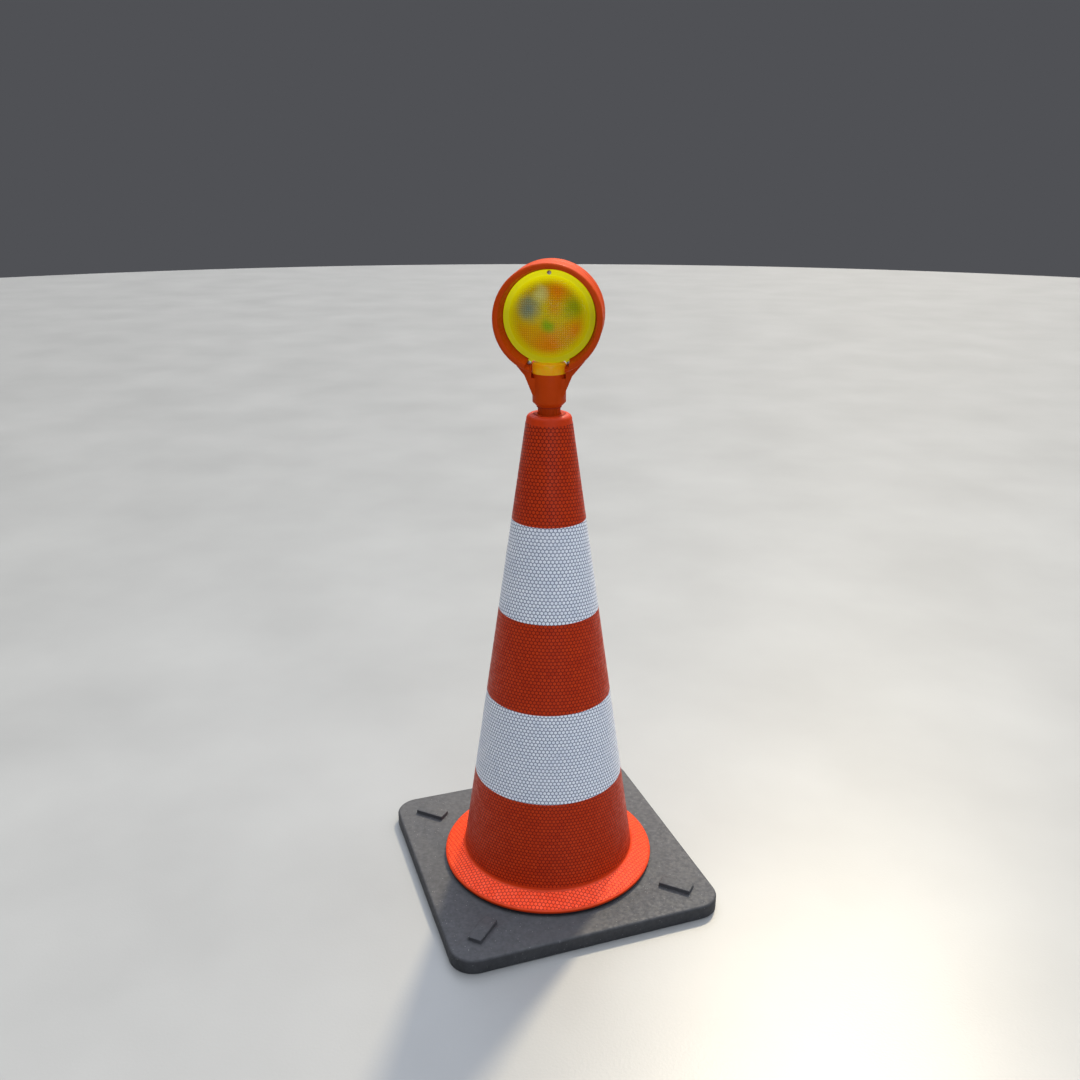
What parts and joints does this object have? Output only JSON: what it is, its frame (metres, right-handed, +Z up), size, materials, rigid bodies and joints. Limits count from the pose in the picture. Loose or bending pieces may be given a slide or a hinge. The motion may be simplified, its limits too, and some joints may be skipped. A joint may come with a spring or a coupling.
{
  "type": "cone-mounted barricade warning light",
  "caption": "Round two-faced amber warning lamp on a battery stem that plugs into a banded orange and white traffic cone on a square rubber base.",
  "frame": {"origin": "on the floor, in the middle of the square base, on the cone's axis", "axes": "+Z up along the cone's axis; the lamp's front lens looks along -Y; the square base is turned 25 degrees about +Z"},
  "size_m": [0.5378, 0.5378, 0.9584],
  "materials": {
    "recycled_rubber": "matt moulded, fine speckle",
    "cone_pvc": "satin moulded",
    "locking_plastic": "matt moulded",
    "orange_sheeting": "retroreflective film with a fine honeycomb",
    "white_sheeting": "retroreflective film with a fine honeycomb",
    "orange_rubber": "matt",
    "lamp_orange": "satin injection moulded",
    "amber_lens": "clear tinted acrylic with small prisms",
    "black_rubber": "matt",
    "zinc_steel": "zinc plated",
    "bright_reflector": "vacuum metallised",
    "circuit_board": "solder mask",
    "led_resin": "clear cast",
    "sensor_black": "moulded",
    "cell_steel": "film wrapped",
    "brass_contact": "bright",
    "lead_insulation": "extruded",
    "button_grey": "matt"
  },
  "bodies": {
    "stand": {"base_plate": "recycled_rubber", "retaining_ring": "locking_plastic", "cone_body": "cone_pvc", "top_orange_band": "orange_sheeting", "upper_white_band": "white_sheeting", "middle_orange_band": "orange_sheeting", "lower_white_band": "white_sheeting", "bottom_orange_band": "orange_sheeting", "flange_band": "orange_sheeting", "cone_grommet": "orange_rubber"},
    "socket": {"swivel_socket": "lamp_orange"},
    "lamp": {"stem_tube": "lamp_orange", "battery_cells": "cell_steel", "top_contact": "brass_contact", "driver_board": "circuit_board", "driver_parts": "sensor_black", "front_housing": "lamp_orange", "rear_housing": "lamp_orange", "front_lens": "amber_lens", "rear_lens": "amber_lens", "front_lens_seal": "black_rubber", "rear_lens_seal": "black_rubber", "front_lens_screws": "zinc_steel", "rear_lens_screws": "zinc_steel", "housing_screws": "zinc_steel", "front_reflector": "bright_reflector", "rear_reflector": "bright_reflector", "light_board": "circuit_board", "leds": "led_resin", "photocell": "sensor_black", "lamp_leads": "lead_insulation", "switch_bezel": "locking_plastic", "switch_contact": "zinc_steel", "stem_seal": "orange_rubber"},
    "cap": {"stem_cap": "lamp_orange", "cap_seal": "black_rubber", "battery_spring": "zinc_steel"},
    "button": {"switch_button": "button_grey"}
  },
  "joints": [
    {"name": "lamp_swivel", "type": "hinge", "parent": "stand", "child": "socket", "pos_m": [0, 0, 0.72], "axis": [0, 0, 1], "continuous": true},
    {"name": "lamp_lift_out", "type": "slide", "parent": "socket", "child": "lamp", "axis": [0, 0, 1], "range_m": [0, 0.165]},
    {"name": "cap_bayonet", "type": "hinge", "parent": "lamp", "child": "cap", "pos_m": [0, 0, 0.595], "axis": [0, 0, 1], "range_deg": [0, 90]},
    {"name": "switch_press", "type": "slide", "parent": "lamp", "child": "button", "axis": [0, -1, 0], "range_m": [0, 0.0016], "stiffness_N_per_m": 600}
  ]
}
